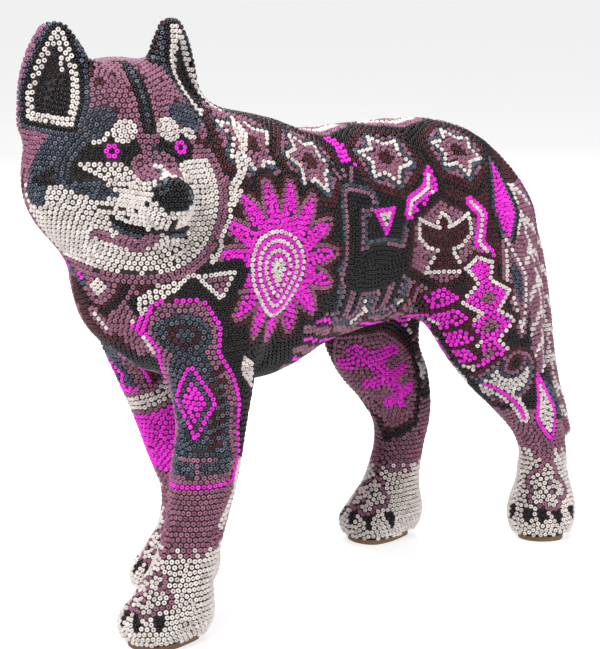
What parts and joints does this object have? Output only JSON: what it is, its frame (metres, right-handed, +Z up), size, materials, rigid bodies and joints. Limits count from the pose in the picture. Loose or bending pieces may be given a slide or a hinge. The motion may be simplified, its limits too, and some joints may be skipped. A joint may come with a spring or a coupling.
{
  "type": "beaded animal figure",
  "caption": "Free-standing carved wolf figure with its head turned, covered all over in small glass beads set in wax, standing on bare wooden soles.",
  "frame": {"origin": "on the ground under the middle of the bounding box", "axes": "+Z up, the body's front faces -Y, the figure's left side and its turned head face +X"},
  "size_m": [0.0878, 0.2633, 0.2296],
  "materials": {
    "black_beads": "opaque glossy glass seed beads",
    "white_beads": "opaque glossy glass seed beads",
    "mauve_beads": "opaque glossy glass seed beads",
    "maroon_beads": "opaque glossy glass seed beads",
    "magenta_beads": "opaque glossy glass seed beads",
    "slate_beads": "opaque glossy glass seed beads",
    "beeswax": "soft wax, only seen between beads",
    "carved_wood": "bare, smoothed",
    "dowel_wood": "turned peg, hidden"
  },
  "bodies": {
    "root": {"back_bead_coat": "mauve_beads", "beeswax_layer": "beeswax", "belly_bead_coat": "maroon_beads", "cheeks_and_muzzle_bead_coat": "white_beads", "chest_bead_coat": "maroon_beads", "forehead_bead_coat": "mauve_beads", "head_back_bead_coat": "slate_beads", "head_core": "carved_wood", "left_ear_bead_coat": "black_beads", "left_ear_core": "carved_wood", "left_ear_dowel": "dowel_wood", "left_eye_bead_coat": "magenta_beads", "left_flank_bead_coat": "maroon_beads", "left_front_leg_bead_coat": "slate_beads", "left_front_leg_core": "carved_wood", "left_front_leg_dowel": "dowel_wood", "left_front_paw_bead_coat": "white_beads", "left_front_shank_bead_coat": "mauve_beads", "left_hind_leg_bead_coat": "slate_beads", "left_hind_leg_core": "carved_wood", "left_hind_leg_dowel": "dowel_wood", "left_hind_paw_bead_coat": "white_beads", "left_hind_shank_bead_coat": "mauve_beads", "left_thigh_bead_coat": "mauve_beads", "neck_dowel": "dowel_wood", "neck_ruff_bead_coat": "mauve_beads", "nose_bead_coat": "black_beads", "right_ear_bead_coat": "black_beads", "right_ear_core": "carved_wood", "right_ear_dowel": "dowel_wood", "right_eye_bead_coat": "magenta_beads", "right_flank_bead_coat": "maroon_beads", "right_front_leg_bead_coat": "slate_beads", "right_front_leg_core": "carved_wood", "right_front_leg_dowel": "dowel_wood", "right_front_paw_bead_coat": "white_beads", "right_front_shank_bead_coat": "mauve_beads", "right_hind_leg_bead_coat": "slate_beads", "right_hind_leg_core": "carved_wood", "right_hind_leg_dowel": "dowel_wood", "right_hind_paw_bead_coat": "white_beads", "right_hind_shank_bead_coat": "mauve_beads", "right_thigh_bead_coat": "mauve_beads", "tail_bead_coat": "mauve_beads", "tail_core": "carved_wood", "tail_dowel": "dowel_wood", "torso_core": "carved_wood"}
  },
  "joints": []
}
